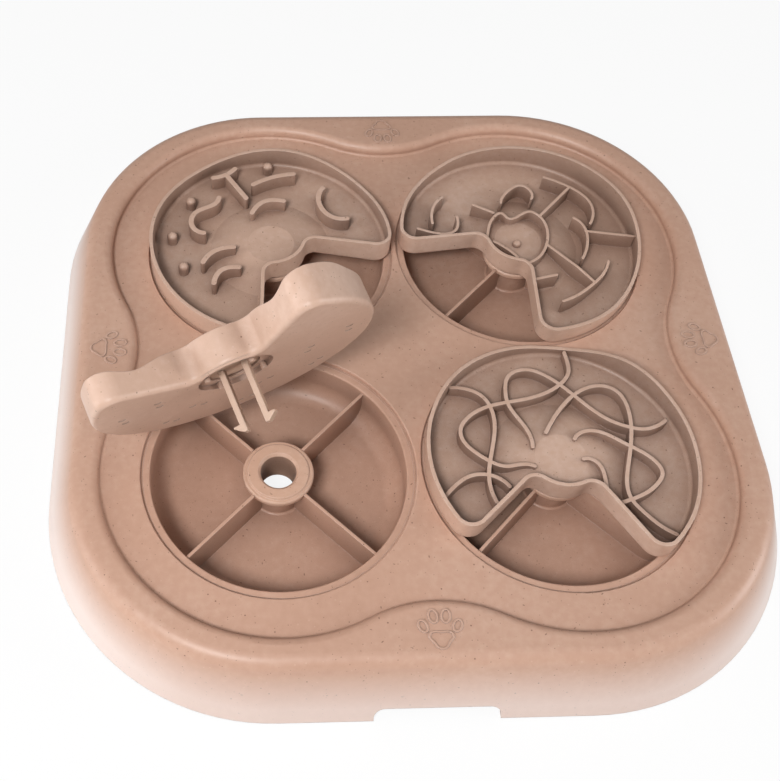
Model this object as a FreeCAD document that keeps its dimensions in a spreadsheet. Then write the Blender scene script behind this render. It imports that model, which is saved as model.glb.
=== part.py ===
import FreeCAD, Part
import math
import os
import Sketcher
from FreeCAD import Placement, Rotation, Vector

# Puzzle feeder: a square moulded base with four round wells and a maze tray over each well.
# Z is up, the origin is under the middle of the base on the surface that it stands on, and -Y is the front.

os.makedirs("parts", exist_ok=True)
doc = FreeCAD.newDocument("puzzle_feeder")
dims = doc.addObject("Spreadsheet::Sheet", "Dims")

# Driving sizes in millimetres and degrees.
SIZES = [
    ("foot_proud", 0.8),
    ("base_half", 171.2),
    ("base_corner", 104.0),
    ("rim_top", 33.3),
    ("skirt_taper", 23.6),
    ("skirt_wall", 2.8),
    ("skirt_top_round", 7.0),
    ("deck_top", 27.6),
    ("deck_under", 23.0),
    ("lobe_radius", 81.0),
    ("crest_reach", 130.0),
    ("rim_inner_round", 4.0),
    ("deck_round", 1.5),
    ("half_pitch", 64.0),
    ("lip_radius", 62.7),
    ("ledge_top", 25.4),
    ("well_radius", 58.5),
    ("well_floor", 4.4),
    ("well_under", 2.2),
    ("well_wall", 2.2),
    ("well_round", 9.0),
    ("well_split", 61.7),
    ("post_radius", 11.4),
    ("post_round", 1.2),
    ("post_bore", 10.2),
    ("divider_thick", 1.4),
    ("divider_top", 23.4),
    ("collar_under", 21.2),
    ("collar_seat", 16.3),
    ("collar_radius", 16.2),
    ("collar_top", 24.8),
    ("bush_bore", 8.2),
    ("bush_bottom", 5.8),
    ("grip_width", 54.0),
    ("grip_height", 7.6),
    ("foot_radius", 8.5),
    ("foot_boss", 10.0),
    ("foot_seat", 2.8),
    ("foot_offset", 120.0),
    ("paw_offset", 143.2),
    ("paw_raise", 0.5),
    ("tray_seat", 26.1),
    ("tray_radius", 61.6),
    ("tray_height", 26.0),
    ("tray_wall", 1.7),
    ("tray_floor", 2.0),
    ("tray_round", 2.4),
    ("tray_corner", 8.0),
    ("tray_neck", 6.0),
    ("nose_radius", 18.0),
    ("notch_half_angle", 41.0),
    ("notch_narrow_angle", 37.5),
    ("notch_inset", 2.5),
    ("boss_radius", 17.9),
    ("boss_top", 6.6),
    ("cone_radius", 31.0),
    ("cone_peak", 12.0),
    ("arch_radius", 16.3),
    ("arch_depth", 2.0),
    ("socket_mouth", 11.4),
    ("socket_lip", 2.8),
    ("socket_radius", 12.2),
    ("socket_roof", 4.9),
    ("stub_radius", 1.3),
    ("stub_circle", 14.0),
    ("stub_drop", 1.0),
    ("mark_radius", 1.6),
    ("mark_depth", 0.25),
    ("rib_foot", 1.6),
    ("clip_head_radius", 12.0),
    ("clip_head_low", 3.0),
    ("clip_head_top", 4.7),
    ("leg_inner", 4.0),
    ("leg_outer", 6.4),
    ("leg_width", 4.8),
    ("leg_length", 24.0),
    ("barb_reach", 9.2),
    ("barb_top", 20.6),
    ("hinge_x", -95.3),
    ("hinge_y", -18.7),
    ("hinge_z", 50.9),
    ("hinge_angle", 73.7),
    ("hinge_dir_x", 0.852),
    ("hinge_dir_y", 0.491),
    ("hinge_dir_z", 0.178),
]
for row, (alias, size) in enumerate(SIZES, start=1):
    dims.set("A%d" % row, alias.replace("_", " "))
    dims.set("B%d" % row, str(size))
    dims.setAlias("B%d" % row, alias)
doc.recompute()
D = {alias: size for alias, size in SIZES}

# Corners of the square in the order front left, front right, back left, back right.
CORNERS = {
    "front_left": (-1, -1),
    "front_right": (1, -1),
    "back_left": (-1, 1),
    "back_right": (1, 1),
}
# Direction that each seated tray's notch faces, from +X towards +Y.
NOTCH_FACES = {"front_left": -76.3, "front_right": -99.5, "back_left": -52.0, "back_right": -132.5}
# Wall height of each tray above its underside, at even steps of angle from the tray's own +X.
RIM_HEIGHTS = {
    "front_left": [12.0, 13.0, 14.5, 14.5, 15.0, 17.0, 14.0, 12.0, 16.0, 11.0, 14.0, 14.0],
    "front_right": [12.5, 13.0, 12.6, 12.0, 12.7, 12.5, 11.0, 12.4, 13.8, 6.6, 9.6, 13.2],
    "back_left": [14.0, 13.0, 12.0, 14.0, 9.5, 13.0, 10.0, 14.0],
    "back_right": [10.0, 12.5, 13.0, 12.0, 12.5, 11.0, 8.5, 11.5, 15.5, 15.0, 13.5, 12.0],
}
NOSE_HEIGHT = {"front_left": 15.5, "front_right": 13.0, "back_left": 13.0, "back_right": 12.5}
# How far each tray's notch walls dip between the nose and the rim.
NOTCH_DIP = {"front_left": 3.5, "front_right": 0.0, "back_left": 0.0, "back_right": 0.0}
RIB_HEIGHT = {"front_left": 8.0, "front_right": 6.5, "back_left": 8.5, "back_right": 9.2}
RIB_THICK = {"front_left": 1.8, "front_right": 1.8, "back_left": 2.6, "back_right": 1.4}
# Middle line of each maze wall in its tray's own plane; the notch opens towards +Y.
RIBS = {
    "front_right": [
        [(51.5, -29.5), (43, -29.5), (37, -27), (33, -22), (30.5, -7), (32, 18), (28.5, 27.5)],
        [(12, 7), (18, 7), (25, 9), (32, 7.5), (38.5, 4), (44.5, -1.5), (46, -7), (43, -14), (36.5, -20),
         (16, -28.5), (0, -39.5), (-3.5, -46), (-3.5, -52), (-2, -58.5)],
        [(13, -3), (16, -12), (25, -25.5), (26, -32), (25, -39.5), (20, -44), (14.5, -45), (6.5, -42.5),
         (-24.5, -21.5), (-31, -20), (-38.5, -20), (-44, -22.5), (-48, -26)],
        [(7, -11.5), (4.5, -17.5), (0, -26), (-12.5, -39), (-20.5, -41), (-26, -39), (-30.5, -31.5),
         (-32, -21.5), (-30, -0.5), (-31, 18), (-35.5, 23), (-43, 29), (-49.5, 32)],
        [(-6, -10), (-7.5, -12.5), (-14, -15.5), (-28.5, -11), (-42, -3.5), (-45, 1.5), (-42.5, 8),
         (-36.5, 14), (-24, 21)],
        [(-10, 0), (-12.5, -0.5), (-16.5, 1.5), (-19.5, 10), (-20.5, 16.5)],
        [(51.5, 28.5), (46.5, 21.5), (40, 16), (34, 14.5), (23, 19)],
    ],
    "back_right": [
        [(-12.5, 13.5), (-15.5, 4), (-13.5, -5), (-8, -13.5), (-0.5, -18), (5, -17.5), (7.5, -12), (11, -6),
         (15.5, -6.5), (17, -0.5), (15, 6), (12, 12)],
        [(-7, 12.5), (1, 11.5), (7.5, 12)],
        [(-0.5, -19), (-1, -46)],
        [(13, -43), (0, -46), (-16.5, -43), (-21, -37.5), (-23, -31.5)],
        [(-24, -25.5), (-44.5, -39)],
        [(-14.5, -29), (-19.5, -28.5), (-28, -21), (-32.5, -9)],
        [(-13.5, -4.5), (-45, -1)],
        [(-43.5, -16), (-45.5, -8), (-45, 1), (-42, 16.5), (-40, 21)],
        [(-22, 18.5), (-28.5, 9)],
        [(42, 31), (27, 17.5), (31.5, 11)],
        [(38.5, 23), (45.5, 10.5), (45.5, 5)],
        [(30, -1.5), (19, -4)],
        [(20, -12.5), (21.5, -24.5), (18.5, -30), (13.5, -30), (9.5, -25.5)],
    ],
    "back_left": [
        [(-3.5, -52), (-11, -49.5), (-16.5, -50)],
        [(-10, -48.5), (-8, -30)],
        [(-17, -35), (-27, -33), (-38.5, -27.5)],
        [(24, -25), (26, -31.5), (23, -36.5), (18.5, -38.5), (7, -37), (3, -39)],
        [(-44, -10), (-36, -4), (-34, 6), (-40, 14)],
        [(-22, -16), (-14, -22), (-4, -20)],
        [(24, 4), (32, 0), (40, 4)],
        [(18, -8), (28, -12), (36, -10)],
    ],
    "front_left": [
        [(-50, -12), (-40, -16), (-33, -8), (-36, 4), (-46, 8)],
        [(-30, -40), (-24, -28), (-28, -16), (-20, -6)],
        [(-8, -50), (-12, -38), (-2, -30), (8, -36), (6, -48)],
        [(26, -40), (20, -28), (26, -18), (38, -18)],
        [(48, -2), (38, 0), (34, 10), (42, 18)],
        [(22, 4), (28, -4), (22, -10)],
    ],
}
# Round-headed pins on the tray floors: x, y, radius, top above the underside.
PINS = {
    "front_right": [],
    "back_right": [(-1.0, 3.0, 2.2, 9.4)],
    "back_left": [(14.5, -48.5, 2.6, 8.8), (36.5, -35.5, 2.6, 8.8), (-33, -42.5, 2.6, 8.8), (44, -16, 2.6, 8.8)],
    "front_left": [(-42, 22, 2.6, 8.0), (14, -17, 2.6, 8.0)],
}


def xy_sketch(body, label, height):
    """A sketch on the body's XY plane, raised to a height given as an expression."""
    sketch = body.newObject("Sketcher::SketchObject", label)
    plane = [f for f in body.Origin.OriginFeatures if f.Role == "XY_Plane"][0]
    sketch.AttachmentSupport = [(plane, "")]
    sketch.MapMode = "FlatFace"
    sketch.setExpression(".AttachmentOffset.Base.z", height)
    return sketch


def xz_sketch(body, label, offset=None):
    """A sketch on the body's XZ plane; its normal is -Y."""
    sketch = body.newObject("Sketcher::SketchObject", label)
    plane = [f for f in body.Origin.OriginFeatures if f.Role == "XZ_Plane"][0]
    sketch.AttachmentSupport = [(plane, "")]
    sketch.MapMode = "FlatFace"
    if offset:
        sketch.setExpression(".AttachmentOffset.Base.z", offset)
    return sketch


def yz_sketch(body, label):
    """A sketch on the body's YZ plane."""
    sketch = body.newObject("Sketcher::SketchObject", label)
    plane = [f for f in body.Origin.OriginFeatures if f.Role == "YZ_Plane"][0]
    sketch.AttachmentSupport = [(plane, "")]
    sketch.MapMode = "FlatFace"
    return sketch


def circle(sketch, x, y, radius, radius_from, x_from=None, y_from=None):
    """A circle whose radius, and centre where given, follow the spreadsheet."""
    geo = sketch.addGeometry(Part.Circle(Vector(x, y, 0), Vector(0, 0, 1), radius), False)
    number = sketch.addConstraint(Sketcher.Constraint("Radius", geo, radius))
    sketch.setExpression("Constraints[%d]" % number, radius_from)
    if x_from:
        number = sketch.addConstraint(Sketcher.Constraint("DistanceX", -1, 1, geo, 3, x))
        sketch.setExpression("Constraints[%d]" % number, x_from)
        number = sketch.addConstraint(Sketcher.Constraint("DistanceY", -1, 1, geo, 3, y))
        sketch.setExpression("Constraints[%d]" % number, y_from)
    else:
        sketch.addConstraint(Sketcher.Constraint("Coincident", geo, 3, -1, 1))
    return geo


def four_circles(sketch, offset_alias, radius_alias):
    """One circle at each corner of a square about the origin."""
    for sx, sy in CORNERS.values():
        reach = D[offset_alias]
        circle(sketch, sx * reach, sy * reach, D[radius_alias], "Dims." + radius_alias,
               "%d * Dims.%s" % (sx, offset_alias), "%d * Dims.%s" % (sy, offset_alias))


def rounded_square(sketch, half, corner, half_from, corner_from):
    """A square with rounded corners, tangent all round and bound to the spreadsheet."""
    flat = half - corner
    lines = []
    arcs = []
    for k in range(4):
        turn = Rotation(Vector(0, 0, 1), 90 * k)
        lines.append(sketch.addGeometry(Part.LineSegment(
            turn.multVec(Vector(-flat, -half, 0)), turn.multVec(Vector(flat, -half, 0))), False))
        centre = turn.multVec(Vector(flat, -flat, 0))
        start = math.radians(90 * k - 90)
        round_edge = Part.ArcOfCircle(Part.Circle(centre, Vector(0, 0, 1), corner), start, start + math.pi / 2)
        arcs.append(sketch.addGeometry(round_edge, False))
    for k in range(4):
        sketch.addConstraint(Sketcher.Constraint("Tangent", lines[k], 2, arcs[k], 1))
        sketch.addConstraint(Sketcher.Constraint("Tangent", arcs[k], 2, lines[(k + 1) % 4], 1))
    for k in (1, 2, 3):
        sketch.addConstraint(Sketcher.Constraint("Equal", arcs[0], arcs[k]))
    for k in (0, 2):
        sketch.addConstraint(Sketcher.Constraint("Horizontal", lines[k]))
    sketch.addConstraint(Sketcher.Constraint("Vertical", lines[1]))
    number = sketch.addConstraint(Sketcher.Constraint("Radius", arcs[0], corner))
    sketch.setExpression("Constraints[%d]" % number, corner_from)
    for kind, a, b in (("DistanceY", (lines[0], 1), (-1, 1)), ("DistanceY", (-1, 1), (lines[2], 1)),
                       ("DistanceX", (-1, 1), (lines[1], 1)), ("DistanceX", (lines[3], 1), (-1, 1))):
        number = sketch.addConstraint(Sketcher.Constraint(kind, *a, *b, half))
        sketch.setExpression("Constraints[%d]" % number, half_from)


def pad(body, label, sketch, length, taper=None):
    feature = body.newObject("PartDesign::Pad", label)
    feature.Profile = sketch
    feature.setExpression("Length", length)
    if taper:
        feature.setExpression("TaperAngle", taper)
    doc.recompute()
    return feature


def pocket(body, label, sketch, length, taper=None, upward=False):
    before = body.Shape.Volume
    feature = body.newObject("PartDesign::Pocket", label)
    feature.Profile = sketch
    feature.setExpression("Length", length)
    feature.Reversed = upward
    if taper:
        feature.setExpression("TaperAngle", taper)
    doc.recompute()
    print(label, "removed", round(before - body.Shape.Volume), "mm3")
    return feature


def fillet(body, label, radius, wanted):
    """Round every edge of the body's tip that the test picks."""
    base = body.Tip
    names = ["Edge%d" % (k + 1) for k, edge in enumerate(base.Shape.Edges) if wanted(edge)]
    feature = body.newObject("PartDesign::Fillet", label)
    feature.Base = (base, names)
    feature.setExpression("Radius", radius)
    doc.recompute()
    print(label, len(names), "edges", feature.State, "null" if feature.Shape.isNull() else "made")
    return feature


def edge_points(edge):
    first, last = edge.ParameterRange
    return [edge.valueAt(first + (last - first) * k / 4.0) for k in range(5)]


def level(edge, z, slack=0.02):
    return all(abs(p.z - z) < slack for p in edge_points(edge))


def at_radius(edge, x, y, radius, slack=0.05):
    return all(abs(math.hypot(p.x - x, p.y - y) - radius) < slack for p in edge_points(edge))


def on_well(edge, radius, z):
    reach = D["half_pitch"]
    return level(edge, z) and any(at_radius(edge, sx * reach, sy * reach, radius) for sx, sy in CORNERS.values())


# Base: a hollow tapered skirt closed by a deck that carries the four wells.
base = doc.addObject("PartDesign::Body", "base_blank")
outline = xy_sketch(base, "skirt_outline", "Dims.foot_proud")
rounded_square(outline, D["base_half"], D["base_corner"], "Dims.base_half", "Dims.base_corner")
pad(base, "skirt", outline, "Dims.rim_top - Dims.foot_proud", "-Dims.skirt_taper")
inside = xy_sketch(base, "hollow_outline", "Dims.foot_proud")
rounded_square(inside, D["base_half"] - D["skirt_wall"], D["base_corner"] - D["skirt_wall"],
               "Dims.base_half - Dims.skirt_wall", "Dims.base_corner - Dims.skirt_wall")
pocket(base, "hollow", inside, "Dims.deck_under - Dims.foot_proud", "-Dims.skirt_taper", upward=True)
cups = xy_sketch(base, "cup_outline", "Dims.well_under")
for sx, sy in CORNERS.values():
    reach = D["half_pitch"]
    circle(cups, sx * reach, sy * reach, D["well_radius"] + D["well_wall"], "Dims.well_radius + Dims.well_wall",
           "%d * Dims.half_pitch" % sx, "%d * Dims.half_pitch" % sy)
pad(base, "cups", cups, "Dims.deck_under - Dims.well_under + 1")
fillet(base, "cup_round", "0.8 * Dims.well_round",
       lambda e: on_well(e, D["well_radius"] + D["well_wall"], D["well_under"]))
bosses = xy_sketch(base, "foot_boss_outline", "Dims.foot_seat")
four_circles(bosses, "foot_offset", "foot_boss")
pad(base, "foot_bosses", bosses, "Dims.deck_under - Dims.foot_seat + 1")

# Raised rim: its inner edge runs in four round lobes joined by a crest at the middle of each side.
lobes = xy_sketch(base, "rim_wave", "Dims.rim_top")
pitch = D["half_pitch"]
lobe = D["lobe_radius"]
gap = D["crest_reach"] - pitch
crest = (pitch ** 2 + gap ** 2 - lobe ** 2) / (2 * (lobe - gap))
share = lobe / (lobe + crest)
touch_x = pitch - share * pitch
touch_y = pitch + share * (D["crest_reach"] + crest - pitch)
for k in range(4):
    turn = Rotation(Vector(0, 0, 1), 90 * k)
    lobe_mid = pitch + lobe / math.sqrt(2)
    lobes.addGeometry(Part.Arc(turn.multVec(Vector(touch_y, touch_x, 0)), turn.multVec(Vector(lobe_mid, lobe_mid, 0)),
                               turn.multVec(Vector(touch_x, touch_y, 0))), False)
    lobes.addGeometry(Part.Arc(turn.multVec(Vector(touch_x, touch_y, 0)),
                               turn.multVec(Vector(0, D["crest_reach"], 0)),
                               turn.multVec(Vector(-touch_x, touch_y, 0))), False)
pocket(base, "deck", lobes, "Dims.rim_top - Dims.deck_top")
fillet(base, "skirt_top", "Dims.skirt_top_round",
       lambda e: level(e, D["rim_top"]) and max(max(abs(p.x), abs(p.y)) for p in edge_points(e)) > 153)
fillet(base, "rim_inner", "Dims.rim_inner_round",
       lambda e: level(e, D["rim_top"]) and max(max(abs(p.x), abs(p.y)) for p in edge_points(e)) < 147)
fillet(base, "deck_edge", "Dims.deck_round",
       lambda e: level(e, D["deck_top"]))

# Wells: a shallow ledge, a deep bowl round the post, and a bore down the post for the bush.
ledge = xy_sketch(base, "ledge_outline", "Dims.deck_top")
four_circles(ledge, "half_pitch", "lip_radius")
pocket(base, "ledge", ledge, "Dims.deck_top - Dims.ledge_top")
bowl = xy_sketch(base, "bowl_outline", "Dims.deck_top")
four_circles(bowl, "half_pitch", "well_radius")
four_circles(bowl, "half_pitch", "post_radius")
pocket(base, "bowl", bowl, "Dims.deck_top - Dims.well_floor")
fillet(base, "bowl_round", "Dims.well_round", lambda e: on_well(e, D["well_radius"], D["well_floor"]))
fillet(base, "post_foot", "Dims.post_round", lambda e: on_well(e, D["post_radius"], D["well_floor"]))
walls = xy_sketch(base, "divider_outline", "Dims.well_floor - 0.5")
for sx, sy in CORNERS.values():
    for k in range(4):
        angle = math.radians(45 + 90 * k)
        along = Vector(math.cos(angle), math.sin(angle), 0)
        across = Vector(-math.sin(angle), math.cos(angle), 0) * (D["divider_thick"] / 2)
        centre = Vector(sx * pitch, sy * pitch, 0)
        near = centre + along * (D["post_radius"] - 1)
        far = centre + along * (D["well_radius"] + 1)
        loop = [near - across, far - across, far + across, near + across]
        for a, b in zip(loop, loop[1:] + loop[:1]):
            walls.addGeometry(Part.LineSegment(a, b), False)
pad(base, "dividers", walls, "Dims.divider_top - Dims.well_floor + 0.5")
seat = xy_sketch(base, "collar_seat_outline", "Dims.deck_top")
four_circles(seat, "half_pitch", "collar_seat")
pocket(base, "collar_seats", seat, "Dims.deck_top - Dims.collar_under")
bore = xy_sketch(base, "bore_outline", "Dims.deck_top")
four_circles(bore, "half_pitch", "post_bore")
pocket(base, "post_bores", bore, "Dims.deck_top")
fillet(base, "lip_round", "0.6mm", lambda e: on_well(e, D["lip_radius"], D["deck_top"]))
fillet(base, "ledge_round", "0.8mm", lambda e: on_well(e, D["well_radius"], D["ledge_top"]))

# Finger grip in the lower front edge of the skirt.
grip = xz_sketch(base, "grip_outline", "Dims.base_half + 5")
wide = D["grip_width"] / 2
high = D["grip_height"]
bend = 5.0
grip_path = [
    Part.LineSegment(Vector(-wide, -2, 0), Vector(wide, -2, 0)),
    Part.LineSegment(Vector(wide, -2, 0), Vector(wide, high - bend, 0)),
    Part.Arc(Vector(wide, high - bend, 0), Vector(wide - bend * 0.293, high - bend * 0.293, 0),
             Vector(wide - bend, high, 0)),
    Part.LineSegment(Vector(wide - bend, high, 0), Vector(bend - wide, high, 0)),
    Part.Arc(Vector(bend - wide, high, 0), Vector(bend * 0.293 - wide, high - bend * 0.293, 0),
             Vector(-wide, high - bend, 0)),
    Part.LineSegment(Vector(-wide, high - bend, 0), Vector(-wide, -2, 0)),
]
for edge in grip_path:
    grip.addGeometry(edge, False)
pocket(base, "finger_grip", grip, "25mm")

# Paw prints: a thin raised outline of a three-lobed pad and four fanned toes on the crest of every side.
paws = xy_sketch(base, "paw_outline", "Dims.rim_top - 0.2")
PAW_LINE = 0.9
TOES = [(-7.2, 0.9, 2.2, 3.1, 24), (-2.7, 5.1, 2.3, 3.3, 8), (2.7, 5.1, 2.3, 3.3, -8), (7.2, 0.9, 2.2, 3.1, -24)]


def pad_outline(trim):
    """Points round the three-lobed pad, moved inwards by a trim."""
    points = []
    for k in range(18):
        angle = 2 * math.pi * k / 18
        lobes_out = 4.55 - 0.75 * math.cos(3 * (angle - math.pi / 2)) - trim
        points.append(Vector(1.12 * lobes_out * math.cos(angle), 0.86 * lobes_out * math.sin(angle) - 4.6, 0))
    return points


for k in range(4):
    facing = Placement(Vector(0, 0, 0), Rotation(Vector(0, 0, 1), 90 * k))
    for trim in (0.0, PAW_LINE):
        for x, y, rx, ry, lean in TOES:
            tilt = Rotation(Vector(0, 0, 1), lean)
            centre = Vector(x, y - D["paw_offset"], 0)
            far_end = centre + tilt.multVec(Vector(0, ry - trim, 0))
            side = centre + tilt.multVec(Vector(trim - rx, 0, 0))
            paws.addGeometry(Part.Ellipse(*[facing.multVec(p) for p in (far_end, side, centre)]), False)
        ring = Part.BSplineCurve()
        ring.interpolate([facing.multVec(p - Vector(0, D["paw_offset"], 0)) for p in pad_outline(trim)],
                         PeriodicFlag=True)
        paws.addGeometry(ring, False)
pad(base, "paw_prints", paws, "Dims.paw_raise + 0.2")

# The wells are separate pieces of the base: each is what lies inside a cylinder just outside its bowl.
plugs = []
for corner, (sx, sy) in CORNERS.items():
    plug = doc.addObject("Part::Cylinder", "well_plug_" + corner)
    plug.setExpression("Radius", "Dims.well_split")
    plug.setExpression("Height", "Dims.rim_top + 10")
    plug.setExpression(".Placement.Base.x", "%d * Dims.half_pitch" % sx)
    plug.setExpression(".Placement.Base.y", "%d * Dims.half_pitch" % sy)
    plug.setExpression(".Placement.Base.z", "-5")
    plugs.append(plug)
    well = doc.addObject("Part::Common", "well_" + corner)
    well.Base = base
    well.Tool = plug
four_plugs = doc.addObject("Part::MultiFuse", "well_plugs")
four_plugs.Shapes = plugs
shell = doc.addObject("Part::Cut", "base_shell")
shell.Base = base
shell.Tool = four_plugs
doc.recompute()
print("base", shell.Shape.isValid(), len(shell.Shape.Solids), round(shell.Shape.Volume))

# Hub bushes: a flanged sleeve pressed into each post.
for corner, (sx, sy) in CORNERS.items():
    bush = doc.addObject("PartDesign::Body", "hub_bush_" + corner)
    section = xz_sketch(bush, "bush_section_" + corner)
    top = D["collar_top"]
    rim = D["collar_radius"]
    hole = D["bush_bore"]
    points = [(hole, D["bush_bottom"]), (D["post_bore"], D["bush_bottom"]), (D["post_bore"], D["collar_under"]),
              (rim, D["collar_under"]), (rim, top - 1.6), (rim - 0.6, top - 1.0), (rim - 1.8, top - 1.0),
              (rim - 2.4, top), (hole + 1.2, top), (hole, top - 1.2)]
    for (ax, az), (bx, bz) in zip(points, points[1:] + points[:1]):
        section.addGeometry(Part.LineSegment(Vector(ax, az, 0), Vector(bx, bz, 0)), False)
    for k in range(len(points)):
        section.addConstraint(Sketcher.Constraint("Coincident", k, 2, (k + 1) % len(points), 1))
    for point, axis, size in ((0, "DistanceX", "bush_bore"), (0, "DistanceY", "bush_bottom"),
                              (1, "DistanceX", "post_bore"), (3, "DistanceX", "collar_radius"),
                              (3, "DistanceY", "collar_under"), (7, "DistanceY", "collar_top")):
        number = section.addConstraint(Sketcher.Constraint(axis, -1, 1, point, 1, D[size]))
        section.setExpression("Constraints[%d]" % number, "Dims." + size)
    turned = bush.newObject("PartDesign::Revolution", "bush_turned_" + corner)
    turned.Profile = section
    turned.ReferenceAxis = (section, ["V_Axis"])
    turned.Angle = 360
    bush.setExpression(".Placement.Base.x", "%d * Dims.half_pitch" % sx)
    bush.setExpression(".Placement.Base.y", "%d * Dims.half_pitch" % sy)
doc.recompute()

# Rubber feet under the corners.
for corner, (sx, sy) in CORNERS.items():
    foot = doc.addObject("PartDesign::Body", "foot_" + corner)
    disc = xy_sketch(foot, "foot_disc_" + corner, "0mm")
    circle(disc, 0, 0, D["foot_radius"], "Dims.foot_radius")
    pad(foot, "foot_pad_" + corner, disc, "Dims.foot_seat")
    fillet(foot, "foot_edge_" + corner, "0.6mm", lambda e: level(e, 0))
    foot.setExpression(".Placement.Base.x", "%d * Dims.foot_offset" % sx)
    foot.setExpression(".Placement.Base.y", "%d * Dims.foot_offset" % sy)


def smooth_height(heights, angle):
    """Height at an angle, by a periodic curve through evenly spaced heights."""
    count = len(heights)
    place = (angle / (2 * math.pi) % 1.0) * count
    k = int(place)
    u = place - k
    p = [heights[(k + j) % count] for j in (-1, 0, 1, 2)]
    return 0.5 * (2 * p[1] + (p[2] - p[0]) * u + (2 * p[0] - 5 * p[1] + 4 * p[2] - p[3]) * u ** 2
                  + (3 * p[1] - p[0] - 3 * p[2] + p[3]) * u ** 3)


def wave_tool(corner):
    """The solid above a tray's wavy rim."""
    reach = 66.0
    count = 15
    grid = []
    for i in range(count):
        row = []
        for j in range(count):
            x = reach * (2.0 * i / (count - 1) - 1)
            y = reach * (2.0 * j / (count - 1) - 1)
            out = math.hypot(x, y)
            rise = smooth_height(RIM_HEIGHTS[corner], math.atan2(y, x))
            blend = min(1.0, max(0.0, (out - 16.0) / 40.0))
            blend = blend * blend * (3 - 2 * blend)
            dip = NOTCH_DIP[corner] * math.exp(-((out - 44.0) / 11.0) ** 2)
            row.append(Vector(x, y, NOSE_HEIGHT[corner] * (1 - blend) + rise * blend - dip))
        grid.append(row)
    surface = Part.BSplineSurface()
    surface.interpolate(grid)
    tool = doc.addObject("Part::Feature", "rim_wave_" + corner)
    tool.Shape = surface.toShape().extrude(Vector(0, 0, 40))
    return tool


def rib_outline(line, thick):
    """Closed outline of a thin wall of even thickness with round ends along a smooth line."""
    points = [Vector(x, y, 0) for x, y in line]
    if len(points) == 2:
        points = [points[0], (points[0] + points[1]) * 0.5, points[1]]
    middle = Part.BSplineCurve()
    middle.interpolate(points)
    first, last = middle.FirstParameter, middle.LastParameter
    steps = 3 * (len(points) - 1)
    sides = {1: [], -1: []}
    for k in range(steps + 1):
        u = first + (last - first) * k / steps
        spot = middle.value(u)
        run = middle.tangent(u)[0]
        for side in sides:
            sides[side].append(spot + Vector(-run.y, run.x, 0) * (side * thick / 2))
    edges = []
    for side in (1, -1):
        curve = Part.BSplineCurve()
        curve.interpolate(sides[side])
        edges.append(curve)
    for end, sign in ((0, -1), (-1, 1)):
        run = middle.tangent(first if end == 0 else last)[0]
        tip = points[end] + Vector(run.x, run.y, 0) * (sign * thick / 2)
        edges.append(Part.Arc(sides[1][end], tip, sides[-1][end]))
    return edges


def sketch_copy(sketch, edges):
    """Add the lines and arcs of a planar wire to a sketch."""
    for edge in edges:
        pts = edge_points(edge)
        a, mid, b = [Vector(p.x, p.y, 0) for p in (pts[0], pts[2], pts[4])]
        if isinstance(edge.Curve, Part.Circle):
            sketch.addGeometry(Part.Arc(a, mid, b), False)
        else:
            sketch.addGeometry(Part.LineSegment(a, b), False)


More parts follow.
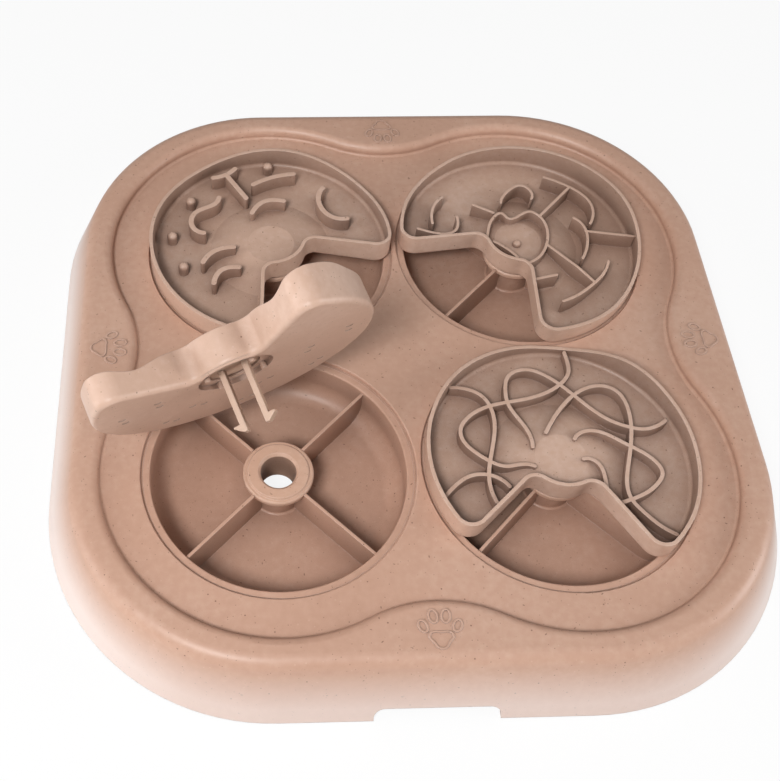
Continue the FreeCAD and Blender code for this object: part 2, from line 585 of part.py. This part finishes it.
# Trays: a thin-walled disc with a V notch, a nose over the hub, a maze of ribs and a wavy rim.
trays = {}
for corner, (sx, sy) in CORNERS.items():
    tray = doc.addObject("PartDesign::Body", "tray_blank_" + corner)
    disc = xy_sketch(tray, "tray_disc_" + corner, "0mm")
    circle(disc, 0, 0, D["tray_radius"], "Dims.tray_radius")
    pad(tray, "tray_pad_" + corner, disc, "Dims.tray_height")
    notch = xy_sketch(tray, "notch_outline_" + corner, "Dims.tray_height")
    nose = D["nose_radius"]
    inset = D["notch_inset"]
    one_side = D["notch_narrow_angle"] if corner == "front_right" else D["notch_half_angle"]
    ends = []
    for side, half_angle in ((1, one_side), (-1, D["notch_half_angle"])):
        lean = math.radians(half_angle)
        start = Vector(side * inset * math.cos(lean), -inset * math.sin(lean), 0)
        along = Vector(side * math.sin(lean), math.cos(lean), 0)
        ends.append(start + along * math.sqrt(nose ** 2 - inset ** 2))
        ends.append(start + along * (1.5 * D["tray_radius"]))
    near, far, other_near, other_far = ends
    notch.addGeometry(Part.LineSegment(near, far), False)
    notch.addGeometry(Part.LineSegment(far, other_far), False)
    notch.addGeometry(Part.LineSegment(other_far, other_near), False)
    notch.addGeometry(Part.Arc(other_near, Vector(0, nose, 0), near), False)
    pocket(tray, "notch_" + corner, notch, "Dims.tray_height")

    def upright(edge, low, high):
        pts = edge_points(edge)
        spread = math.hypot(pts[0].x - pts[4].x, pts[0].y - pts[4].y)
        return spread < 0.01 and pts[0].y > 1 and low < math.hypot(pts[0].x, pts[0].y) < high

    fillet(tray, "tray_corner_" + corner, "Dims.tray_corner", lambda e: upright(e, 50, 70))
    fillet(tray, "tray_neck_" + corner, "Dims.tray_neck", lambda e: upright(e, 10, 30))
    foot_face = [f for f in tray.Shape.Faces if abs(f.BoundBox.ZMax) < 0.01 and abs(f.BoundBox.ZMin) < 0.01][0]
    inner = foot_face.OuterWire.makeOffset2D(-D["tray_wall"])
    if inner.Length > foot_face.OuterWire.Length:
        inner = foot_face.OuterWire.makeOffset2D(D["tray_wall"])
    hollow = xy_sketch(tray, "tray_inside_" + corner, "Dims.tray_height")
    sketch_copy(hollow, inner.Edges)
    pocket(tray, "tray_hollow_" + corner, hollow, "Dims.tray_height - Dims.tray_floor")
    fillet(tray, "tray_underside_" + corner, "Dims.tray_round", lambda e: level(e, 0))
    fillet(tray, "tray_inner_round_" + corner, "1.8mm", lambda e: level(e, D["tray_floor"]))
    slope = (D["boss_top"] - D["tray_floor"]) / (D["cone_radius"] - D["cone_peak"])
    shoulder = D["tray_floor"] + slope * (D["cone_radius"] - D["boss_radius"])
    peak = (D["cone_peak"], D["boss_top"])
    hub_line = [(0, 1.0), (D["boss_radius"], 1.0), (D["boss_radius"], shoulder), peak, (0, D["boss_top"])]
    skirt_line = [(D["cone_peak"], 1.0), (D["cone_radius"], 1.0), (D["cone_radius"], D["tray_floor"]), peak]
    open_part = 2 * (D["notch_half_angle"] + 8.2)
    for name, line, sweep in (("hub_", hub_line, 360.0), ("cone_", skirt_line, 360.0 - open_part)):
        section = yz_sketch(tray, name + "section_" + corner)
        loop = [Vector(-y, z, 0) for y, z in line]
        for a, b in zip(loop, loop[1:] + loop[:1]):
            section.addGeometry(Part.LineSegment(a, b), False)
        turned = tray.newObject("PartDesign::Revolution", name + "turned_" + corner)
        turned.Profile = section
        turned.ReferenceAxis = (section, ["V_Axis"])
        turned.Angle = sweep
        turned.Midplane = True
        doc.recompute()
    arch = xy_sketch(tray, "arch_outline_" + corner, "-1mm")
    circle(arch, 0, 0, D["arch_radius"], "Dims.arch_radius")
    pocket(tray, "arch_" + corner, arch, "Dims.arch_depth + 1", upward=True)
    stubs = xy_sketch(tray, "stub_outline_" + corner, "-Dims.stub_drop")
    for k in range(4):
        spot = Rotation(Vector(0, 0, 1), 45 + 90 * k).multVec(Vector(D["stub_circle"], 0, 0))
        stubs.addGeometry(Part.Circle(spot, Vector(0, 0, 1), D["stub_radius"]), False)
    pad(tray, "stubs_" + corner, stubs, "Dims.stub_drop + Dims.arch_depth + 0.5")
    marks = xy_sketch(tray, "mark_outline_" + corner, "-1mm")
    for reach, count, start in ((34.0, 5, -150.0), (50.0, 6, -165.0)):
        for k in range(count):
            for offset in (-3.0, 3.0):
                angle = start + 240.0 * k / (count - 1) * 0.9 + math.degrees(offset / reach)
                spot = Rotation(Vector(0, 0, 1), angle).multVec(Vector(reach, 0, 0))
                marks.addGeometry(Part.Circle(spot, Vector(0, 0, 1), D["mark_radius"]), False)
    pocket(tray, "marks_" + corner, marks, "Dims.mark_depth + 1", upward=True)
    for number, line in enumerate(RIBS[corner]):
        rib = xy_sketch(tray, "rib_line_%s_%d" % (corner, number), "Dims.rib_foot")
        for edge in rib_outline(line, RIB_THICK[corner]):
            rib.addGeometry(edge, False)
        pad(tray, "rib_%s_%d" % (corner, number), rib, "%gmm" % (RIB_HEIGHT[corner]))
    for number, (x, y, radius, top) in enumerate(PINS[corner]):
        pin = xy_sketch(tray, "pin_outline_%s_%d" % (corner, number), "Dims.rib_foot")
        pin.addGeometry(Part.Circle(Vector(x, y, 0), Vector(0, 0, 1), radius), False)
        pad(tray, "pin_%s_%d" % (corner, number), pin, "%g - Dims.rib_foot" % top)
        fillet(tray, "pin_head_%s_%d" % (corner, number), "%gmm" % (radius - 0.3),
               lambda e: level(e, top) and at_radius(e, x, y, radius))
    mouth = xy_sketch(tray, "mouth_outline_" + corner, "Dims.arch_depth - 0.5")
    circle(mouth, 0, 0, D["socket_mouth"], "Dims.socket_mouth")
    pocket(tray, "mouth_" + corner, mouth, "Dims.socket_roof - Dims.arch_depth + 0.5", upward=True)
    groove = xy_sketch(tray, "groove_outline_" + corner, "Dims.socket_lip")
    circle(groove, 0, 0, D["socket_radius"], "Dims.socket_radius")
    pocket(tray, "groove_" + corner, groove, "Dims.socket_roof - Dims.socket_lip", upward=True)
    cut = doc.addObject("Part::Cut", "tray_" + corner)
    cut.Base = tray
    cut.Tool = wave_tool(corner)
    trays[corner] = cut
    doc.recompute()
    print("tray", corner, cut.Shape.isValid(), round(cut.Shape.Volume), len(cut.Shape.Solids), len(cut.Shape.Faces))

# Snap clips: a round head that turns in the tray's groove and two barbed legs down through the bush.
clips = {}
for corner in CORNERS:
    clip = doc.addObject("PartDesign::Body", "snap_clip_" + corner)
    head = xy_sketch(clip, "clip_head_outline_" + corner, "Dims.clip_head_low")
    circle(head, 0, 0, D["clip_head_radius"], "Dims.clip_head_radius")
    pad(clip, "clip_head_" + corner, head, "Dims.clip_head_top - Dims.clip_head_low")
    legs = xz_sketch(clip, "clip_leg_outline_" + corner, "-0.5 * Dims.leg_width")
    for sign in (1, -1):
        tip = -D["leg_length"]
        points = [(D["leg_inner"], D["clip_head_low"] + 0.5), (D["leg_inner"], tip), (D["leg_outer"] - 0.8, tip),
                  (D["barb_reach"], 1.2 - D["barb_top"] - 2.0), (D["barb_reach"], -D["barb_top"]),
                  (D["leg_outer"], -D["barb_top"]), (D["leg_outer"], D["clip_head_low"] + 0.5)]
        loop = [Vector(sign * x, z, 0) for x, z in points]
        for a, b in zip(loop, loop[1:] + loop[:1]):
            legs.addGeometry(Part.LineSegment(a, b), False)
    pad(clip, "clip_legs_" + corner, legs, "Dims.leg_width")
    clips[corner] = clip

# Three trays lie on their hubs; the front left one is held up, tipped back about the stand-in hinge.
hinge_point = Vector(D["hinge_x"], D["hinge_y"], D["hinge_z"])
hinge_turn = Rotation(Vector(D["hinge_dir_x"], D["hinge_dir_y"], D["hinge_dir_z"]), -D["hinge_angle"])
for corner, (sx, sy) in CORNERS.items():
    for piece in (trays[corner], clips[corner]):
        turn = Rotation(Vector(0, 0, 1), NOTCH_FACES[corner] - 90)
        spot = Vector(sx * pitch, sy * pitch, D["tray_seat"])
        if corner == "front_left":
            turn = hinge_turn.multiply(turn)
            spot = hinge_point + hinge_turn.multVec(spot - hinge_point)
        piece.Placement = Placement(spot, turn)
doc.recompute()

# Check every object, then write one file for each sub-part.
bad = [o.Name for o in doc.Objects if "Invalid" in o.State or "Error" in o.State]
print("objects with errors:", bad)
NODES = ["base_shell"]
for group in ("well_", "hub_bush_", "foot_", "tray_", "snap_clip_"):
    NODES += [group + corner for corner in CORNERS]
for name in NODES:
    piece = doc.getObject(name)
    piece.Label = name
    shape = piece.Shape
    box = shape.BoundBox
    print(name, "valid", shape.isValid(), "solids", len(shape.Solids), "volume", round(shape.Volume),
          "box", [round(v, 1) for v in (box.XMin, box.XMax, box.YMin, box.YMax, box.ZMin, box.ZMax)])
    if shape.isNull() or not shape.isValid() or bad:
        raise RuntimeError("sub-part is not sound: " + name)
    shape.exportStep("parts/%s.step" % name)
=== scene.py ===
# %% [markdown]
# # A puzzle feeder for a dog
#
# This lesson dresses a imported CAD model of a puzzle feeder: a square moulded base with four round wells,
# and a maze tray over each well. One tray is lifted and tilted, so its underside and the open well show.
# Everything is in metres, and Z is up.

# %% Load the fixed frame
import math

import bpy
from mathutils import Matrix, Vector

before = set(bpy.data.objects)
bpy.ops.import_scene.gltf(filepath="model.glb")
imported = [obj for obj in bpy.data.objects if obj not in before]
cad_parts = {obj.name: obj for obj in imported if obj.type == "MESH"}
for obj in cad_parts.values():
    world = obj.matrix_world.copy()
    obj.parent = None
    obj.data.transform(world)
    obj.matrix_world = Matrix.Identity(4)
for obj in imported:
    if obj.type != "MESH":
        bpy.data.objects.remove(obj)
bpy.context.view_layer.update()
MM = 0.001

# %% [markdown]
# ## Shader values as plain arithmetic
#
# A finish is a formula over the surface, and a formula of many Math nodes is hard to read. A `Value` wraps
# one output socket, and an operator on two of them adds the Math node for it, so that a pattern reads like
# a sum. `node` adds any other kind of node, with its settings first and the values or links of its sockets
# after them.

# %% A small class for shader formulas
class Value:
    def __init__(self, tree, socket):
        self.tree = tree
        self.socket = socket

    def feed(self, target, item):
        if isinstance(item, Value):
            self.tree.links.new(item.socket, target)
        else:
            target.default_value = item

    def math(self, operation, *others, clamp=False):
        node = self.tree.nodes.new("ShaderNodeMath")
        node.operation = operation
        node.use_clamp = clamp
        for target, item in zip(node.inputs, (self,) + others):
            self.feed(target, item)
        return Value(self.tree, node.outputs[0])

    def node(self, kind, inputs=None, out=0, **settings):
        made = self.tree.nodes.new(kind)
        for name, setting in settings.items():
            setattr(made, name, setting)
        for name, item in (inputs or {}).items():
            self.feed(made.inputs[name], item)
        return Value(self.tree, made.outputs[out])

    def __add__(self, other):
        return self.math("ADD", other)

    def __radd__(self, other):
        return self.math("ADD", other)

    def __sub__(self, other):
        return self.math("SUBTRACT", other)

    def __rsub__(self, other):
        return self.math("MULTIPLY", -1.0) + other

    def __mul__(self, other):
        return self.math("MULTIPLY", other)

    def __truediv__(self, other):
        return self.math("DIVIDE", other)

    def clamp(self):
        return self.math("ADD", 0.0, clamp=True)

    def below(self, limit, soft):
        """1 where the value is under the limit, 0 above it, with a soft step."""
        return ((limit - self) / soft + 0.5).clamp()

    def mix(self, low, high):
        """A colour between low and high, with this value as the factor."""
        return self.node("ShaderNodeMix", {0: self, 6: low, 7: high}, out=2, data_type="RGBA")


def rgb(red, green, blue):
    """A display colour from 0 to 255 as the linear colour that shaders use."""
    parts = []
    for part in (red, green, blue):
        part = part / 255.0
        parts.append(part / 12.92 if part <= 0.04045 else ((part + 0.055) / 1.055) ** 2.4)
    return tuple(parts) + (1.0,)


print("formula class ready; mid beige is", [round(part, 3) for part in rgb(197, 158, 137)])

# %% [markdown]
# ## Clouds in the plant-fibre plastic
#
# The feeder is moulded in a plastic filled with ground plant fibre: a warm beige whose tone drifts in soft
# clouds of several centimetres and again in a fine mottle. A picture of such plastic could be wrapped round
# the pieces, but it would show its seams. Two sizes of noise in the piece's own space have no seams and
# stay put as it moves.

# %% Cloudy base colour
CLOUD_SCALE = 14.0
MOTTLE_SCALE = 300.0


def noise(place, scale, detail=2.0):
    return place.node("ShaderNodeTexNoise", {"Vector": place, "Scale": scale, "Detail": detail})


def cloudy(place, base, dark, pale):
    """The base colour drifting to pale and to dark; also the fine mottle for other layers."""
    cloud = noise(place, CLOUD_SCALE)
    mottle = noise(place, MOTTLE_SCALE, 3.0)
    lighter = ((cloud - 0.5) * 1.1 + (mottle - 0.5) * 0.9).clamp()
    darker = ((0.5 - cloud) * 1.1 + (0.5 - mottle) * 0.9).clamp()
    return darker.mix(lighter.mix(base, pale), dark), mottle


print("clouds about", round(1000 / CLOUD_SCALE), "mm wide, mottle about", round(1000 / MOTTLE_SCALE), "mm")

# %% [markdown]
# ## Specks and fibres
#
# Ground husk shows as brown specks well under a millimetre wide, a few short fibres that lie every way, and
# some pale flecks. They could be scattered as thousands of tiny discs, but that would weigh the model down.
# A cell pattern with a spot in a share of its cells gives the same look: the cell size sets how far apart
# they lie, the radius sets their size, and squeezing the pattern along one direction draws spots out into
# fibres.

# %% Specks from a cell pattern
FLECK_CELL = 2.3 * MM
DUST_CELL = 1.15 * MM
SPECK_CELL = 3.1 * MM
SPECK_RADIUS = 0.135
FIBRE_CELL = 2.9 * MM
FIBRE_WAYS = ((0.4, 0.047), (1.5, 0.071), (2.5, 0.023))


def specks(place, size, share, radius, turn=0.0, squeeze=1.0, seed=0.0):
    """A mask of specks: one in a share of the cells, radius in cells, drawn out along one direction."""
    shift = (seed, seed * 1.7, seed * 0.6)
    per_cell = (squeeze / size, 1.0 / size, 1.0 / size)
    turned = place.node("ShaderNodeVectorRotate", {"Vector": place, "Angle": turn},
                        rotation_type="Z_AXIS")
    moved = place.node("ShaderNodeVectorMath", {0: turned, 1: shift}, operation="ADD")
    scaled = place.node("ShaderNodeVectorMath", {0: moved, 1: per_cell}, operation="MULTIPLY")
    wanted = {"Vector": scaled, "Scale": 1.0}
    distance = place.node("ShaderNodeTexVoronoi", wanted, out=0)
    cell_colour = place.node("ShaderNodeTexVoronoi", wanted, out=1)
    chance = place.node("ShaderNodeSeparateColor", {0: cell_colour})
    return ((radius - distance) / (0.4 * radius)).clamp() * chance.below(share, 0.01)


def speckled(colour, place, amount, pale, speck):
    """The colour with pale flecks, dust, larger specks and fibres laid over it."""
    fleck = specks(place, FLECK_CELL, 0.14, 0.20, seed=0.093)
    dust = specks(place, DUST_CELL, 0.10 * amount, 0.24, seed=0.013)
    large = specks(place, SPECK_CELL, 0.13 * amount, SPECK_RADIUS, seed=0.031)
    fibre = None
    for turn, seed in FIBRE_WAYS:
        one_way = specks(place, FIBRE_CELL, 0.07 * amount, 0.11, turn=turn, squeeze=0.42,
                         seed=seed)
        fibre = one_way if fibre is None else fibre + one_way
    colour = (fleck * 0.30).mix(colour, pale)
    colour = (dust * 0.55).mix(colour, speck)
    colour = (large * 0.78).mix(colour, speck)
    return (fibre.clamp() * 0.70).mix(colour, speck)


print("specks:", round(2 * SPECK_RADIUS * SPECK_CELL / MM, 2), "mm wide at most")

# %% [markdown]
# ## Edges and corners of a moulding
#
# A moulded edge is never sharp: it turns over about half a millimetre and catches the light. Each edge
# could be rounded in the mesh, which costs many faces on a maze wall. The Bevel node bends only the shading
# normal near an edge, and where the bent and the true normal part, a mask lays a paler line along the edge:
# a painted highlight.

# %% Soft edges with a painted highlight line
EDGE_ROUND = 0.55 * MM
EDGE_HIGHLIGHT_START = 0.985
EDGE_HIGHLIGHT_GAIN = 6.0
# the tone of the painted highlight on edges
EDGE_HIGHLIGHT_TONE = rgb(236, 212, 198)


def soft_edges(colour, place, strength):
    """The colour with a painted highlight along edges, and the rounded shading normal."""
    rounded = place.node("ShaderNodeBevel", {"Radius": EDGE_ROUND}, samples=4)
    true_normal = Value(place.tree, place.tree.nodes.new("ShaderNodeNewGeometry").outputs["Normal"])
    facing = place.node("ShaderNodeVectorMath", {0: rounded, 1: true_normal}, out=1,
                        operation="DOT_PRODUCT")
    # painted highlight: paler where the bent shading normal turns away from the true one
    painted_edge_highlight = ((EDGE_HIGHLIGHT_START - facing) * EDGE_HIGHLIGHT_GAIN).clamp()
    return (painted_edge_highlight * strength).mix(colour, EDGE_HIGHLIGHT_TONE), rounded


print("edges turn over", EDGE_ROUND / MM, "mm")

# %% [markdown]
# ## Painted shade in sheltered corners
#
# Between the maze walls and down in a well the plastic looks deeper and browner, because little light gets
# in. That shade is painted into the colour. A dark tone could be painted on by hand. Here the Ambient
# Occlusion node measures how much of the sky each point misses, counting only the piece itself, so the
# painted shade stays right when a tray lifts or turns.

# %% Painted brown shade where a piece shelters itself
SHELTER_REACH = 36.0 * MM
PAINTED_SHADE_GAIN = 1.3
# the tone of the painted shade in hollows
PAINTED_SHADE_TONE = rgb(74, 42, 28)


def painted_hollow_shade(colour, place, strength, open_share):
    """The colour with painted brown shade where less than the open share of the sky is seen."""
    sky_share = place.node("ShaderNodeAmbientOcclusion", {"Distance": SHELTER_REACH}, out=1,
                           samples=6, only_local=True)
    # painted shade: browner where the piece hides its own sky
    painted_shade = ((open_share - sky_share) * PAINTED_SHADE_GAIN).clamp() * strength
    return painted_shade.mix(colour, PAINTED_SHADE_TONE)


print("shelter measured over", SHELTER_REACH / MM, "mm")

# %% [markdown]
# ## Painted light on the skirt
#
# The sloping skirt of the base looks paler than its deck, most of all at the left and right, where low
# light falls on it. More light would overexpose the deck as well, so that light is painted into the colour:
# a pale tone that grows with the distance outside the square that the rounded corners turn about, and fades
# out just below the rim.

# %% Painted light over the skirt
CORNER_CENTRE = 67.2 * MM
RIM_LINE = 88.0 * MM
SKIRT_LIGHT_EDGE = 5.0 * MM
SKIRT_LIGHT_TOP = 28.0 * MM
SKIRT_LIGHT_FADE = 20.0 * MM
SIDE_START = 40.0 * MM
SIDE_FADE = 45.0 * MM
# the tone of the painted light on the skirt
SKIRT_LIGHT_TONE = rgb(238, 226, 221)


def painted_skirt_light(colour, place, strength):
    """The colour with painted light on the skirt, stronger towards the left and right sides."""
    east, north, height = [place.node("ShaderNodeSeparateXYZ", {0: place}, out=axis)
                           for axis in range(3)]
    beyond_x = (east.math("ABSOLUTE") - CORNER_CENTRE).math("MAXIMUM", 0.0)
    beyond_y = (north.math("ABSOLUTE") - CORNER_CENTRE).math("MAXIMUM", 0.0)
    outward = (beyond_x * beyond_x + beyond_y * beyond_y).math("SQRT")
    low_down = ((SKIRT_LIGHT_TOP - height) / SKIRT_LIGHT_FADE).clamp()
    on_skirt = ((outward - RIM_LINE) / SKIRT_LIGHT_EDGE).clamp() * low_down
    on_side = 0.55 + ((beyond_x - SIDE_START) / SIDE_FADE).clamp() * 0.22
    # painted light: the skirt paler where the low side lamps fall on it
    return (on_skirt * on_side * strength).mix(colour, SKIRT_LIGHT_TONE)


print("haze starts", (CORNER_CENTRE + RIM_LINE) / MM, "mm from the middle")

# %% [markdown]
# ## The finishes
#
# All pieces but the feet are the same kind of plastic, so one function lays the layers in order and each
# finish only sets its tones. They could be five separate node trees, but a change to one would not reach
# the others. The trays are a touch paler than the base and take more painted shade in their corners. The
# snap clips have few specks, and the feet are a dull grey-brown rubber with none. A very fine grain and a
# satin roughness that follows the mottle lie over all of them, as the mould leaves them.

# %% One function for every finish
HUSK = rgb(104, 70, 50)
GRAIN_SCALE = 1600.0
GRAIN_DEPTH = 0.10 * MM
PLASTIC_IOR = 1.48


def plastic(name, base, dark, pale, rough=0.42, amount=1.0, edge=0.5, skirt_light=0.0,
            shelter=0.8, open_share=0.80):
    """A material with all layers; amount sets the specks, edge the painted highlight on edges, and the
    skirt setting the painted light on the skirt.
    """
    material = bpy.data.materials.new(name)
    material.use_nodes = True
    tree = material.node_tree
    shader = tree.nodes["Principled BSDF"]
    place = Value(tree, tree.nodes.new("ShaderNodeTexCoord").outputs["Object"])
    colour, mottle = cloudy(place, base, dark, pale)
    if amount:
        colour = speckled(colour, place, amount, pale, HUSK)
    colour, rounded = soft_edges(colour, place, edge)
    colour = painted_hollow_shade(colour, place, shelter, open_share)
    if skirt_light:
        colour = painted_skirt_light(colour, place, skirt_light)
    grain = noise(place, GRAIN_SCALE) + mottle * 0.6
    skin = place.node("ShaderNodeBump", {"Strength": 0.22, "Distance": GRAIN_DEPTH,
                                         "Height": grain, "Normal": rounded})
    tree.links.new(colour.socket, shader.inputs["Base Color"])
    tree.links.new((rough + (mottle - 0.5) * 0.16).socket, shader.inputs["Roughness"])
    tree.links.new(skin.socket, shader.inputs["Normal"])
    shader.inputs["IOR"].default_value = PLASTIC_IOR
    return material


# %% The five finishes
SHELL = plastic("shell_plastic", rgb(197, 158, 137), rgb(182, 142, 120), rgb(216, 184, 165),
                skirt_light=0.95)
TRAY = plastic("tray_plastic", rgb(205, 171, 151), rgb(190, 155, 134), rgb(226, 200, 185),
               shelter=0.72, open_share=0.98)
BUSH = plastic("bush_plastic", rgb(202, 165, 143), rgb(187, 148, 126), rgb(219, 188, 169))
CLIP = plastic("clip_plastic", rgb(200, 168, 146), rgb(186, 152, 130), rgb(216, 188, 168),
               amount=0.3)
RUBBER = plastic("foot_rubber", rgb(150, 132, 118), rgb(138, 120, 106), rgb(162, 144, 130),
                 rough=0.75, amount=0.0)
print("materials:", [material.name for material in bpy.data.materials])

# %% [markdown]
# ## Dress the CAD nodes
#
# The source already has the real form of every piece, down to the maze walls and the paw prints, so nothing
# is remodelled here: each node keeps its CAD mesh and takes the finish of its kind, which its name starts
# with.

# %% Give every node its finish
KINDS = {"base": SHELL, "well": SHELL, "hub": BUSH, "foot": RUBBER, "tray": TRAY, "snap": CLIP}
for name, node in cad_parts.items():
    finish = KINDS[name.split("_")[0]]
    for slot in node.material_slots:
        slot.material = finish
    print(name, "->", finish.name)

# %% [markdown]
# ## Floor and backdrop
#
# The feeder stands on a white sweep. A floor lit until it looks white would overexpose the feeder, so the
# floor glows only for camera rays: the camera sees nearly plain white with a faint shadow, and the feeder
# gets the light that a pale floor bounces. The world does the same, white to the camera and dim to the
# object.

# %% A pale floor
def flat_mesh(name, corners):
    mesh = bpy.data.meshes.new(name)
    mesh.from_pydata(corners, [], [tuple(range(len(corners)))])
    thing = bpy.data.objects.new(name, mesh)
    bpy.context.scene.collection.objects.link(thing)
    return thing


WHITE = (1.0, 1.0, 1.0, 1.0)
FLOOR_GREY = (0.86, 0.86, 0.86, 1.0)
FLOOR_REACH = 4.0
FLOOR_GLOW = 0.88
CORNERS = ((-1, -1), (1, -1), (1, 1), (-1, 1))
floor = flat_mesh("floor", [(FLOOR_REACH * x, FLOOR_REACH * y, 0.0) for x, y in CORNERS])
floor_material = bpy.data.materials.new("pale_floor")
floor_material.use_nodes = True
tree = floor_material.node_tree
shader = tree.nodes["Principled BSDF"]
shader.inputs["Base Color"].default_value = FLOOR_GREY
shader.inputs["Roughness"].default_value = 0.9
seen = Value(tree, tree.nodes.new("ShaderNodeLightPath").outputs["Is Camera Ray"])
glow = seen.node("ShaderNodeEmission", {"Color": WHITE, "Strength": 1.0})
lit = Value(tree, shader.outputs[0])
blend = seen.node("ShaderNodeMixShader", {0: seen * FLOOR_GLOW, 1: lit, 2: glow})
tree.links.new(blend.socket, tree.nodes["Material Output"].inputs["Surface"])
floor.data.materials.append(floor_material)
print("floor:", floor.name)

# %% A world that is white to the camera
FILL_GREY = (0.17, 0.17, 0.17, 1.0)
world = bpy.data.worlds.new("studio")
bpy.context.scene.world = world
world.use_nodes = True
sky = world.node_tree
background = sky.nodes["Background"]
seen = Value(sky, sky.nodes.new("ShaderNodeLightPath").outputs["Is Camera Ray"])
sky.links.new(seen.mix(FILL_GREY, WHITE).socket, background.inputs["Color"])
background.inputs["Strength"].default_value = 1.0
print("world:", world.name)

# %% [markdown]
# ## Lamps
#
# The shadows say where the light stands: the lifted tray shades the deck behind and to the right of it, its
# upper edge is the brightest part, and the underside is dim. So a key lamp hangs high at the front left.
# Two low lamps at the sides brighten the skirt, as white card would, and a faint one overhead opens the
# wells. Point or sun lamps would be simpler, but only a broad lamp gives shadows with such soft edges.

# %% Lamps
def soft_lamp(name, place, aim, size, power):
    light = bpy.data.lights.new(name, "AREA")
    light.shape = "RECTANGLE"
    light.size, light.size_y = size
    light.energy = power
    lamp = bpy.data.objects.new(name, light)
    lamp.location = place
    lamp.rotation_euler = (Vector(aim) - Vector(place)).to_track_quat("-Z", "Y").to_euler()
    bpy.context.scene.collection.objects.link(lamp)


soft_lamp("key_lamp", (-0.38, -0.62, 0.93), (0, -0.02, 0.03), (0.30, 0.30), 9.4)
soft_lamp("left_lamp", (-1.1, -0.2, 0.30), (0, 0, 0.05), (0.4, 0.9), 4.6)
soft_lamp("right_lamp", (1.1, -0.25, 0.20), (0, 0, 0.03), (0.4, 1.0), 8.0)
soft_lamp("top_lamp", (0.2, 0.0, 1.5), (0, 0, 0.03), (1.0, 1.0), 1.2)
print("lamps:", [lamp.name for lamp in bpy.data.lights])

# %% [markdown]
# ## Camera
#
# The camera stands where the photograph was taken: a little left of the front, 56 degrees up and 1.7
# degrees rolled. Its place could be found by trial, but circles and lines of known size in the picture give
# it more closely. The picture is a crop whose middle isn't on the lens axis, which the two shift values
# copy. The three directions of the camera are worked out from the angles and written straight into its
# matrix.

# %% Camera at the photograph's viewing angle
TURN = math.radians(-3.14)
RISE = math.radians(56.12)
ROLL = math.radians(1.74)
STAND = (-81.75 * MM, -306.54 * MM, 472.85 * MM)
LENS = 51.31
SHIFT = (0.1511, -0.0320)
back = Vector((
    math.sin(TURN) * math.cos(RISE),
    -math.cos(TURN) * math.cos(RISE),
    math.sin(RISE),
))
right = Vector((math.cos(TURN), math.sin(TURN), 0.0))
up = back.cross(right)
across = right * math.cos(ROLL) + up * math.sin(ROLL)
upward = up * math.cos(ROLL) - right * math.sin(ROLL)
camera = bpy.data.objects.new("camera", bpy.data.cameras.new("camera"))
camera.matrix_world = Matrix((
    (across.x, upward.x, back.x, STAND[0]),
    (across.y, upward.y, back.y, STAND[1]),
    (across.z, upward.z, back.z, STAND[2]),
    (0, 0, 0, 1),
))
camera.data.lens = LENS
camera.data.sensor_width = 36.0
camera.data.shift_x, camera.data.shift_y = SHIFT
camera.data.dof.use_dof = False
bpy.context.scene.collection.objects.link(camera)
bpy.context.scene.camera = camera
bpy.context.scene.view_settings.view_transform = "Standard"
print("camera at", tuple(round(part, 3) for part in camera.matrix_world.translation))
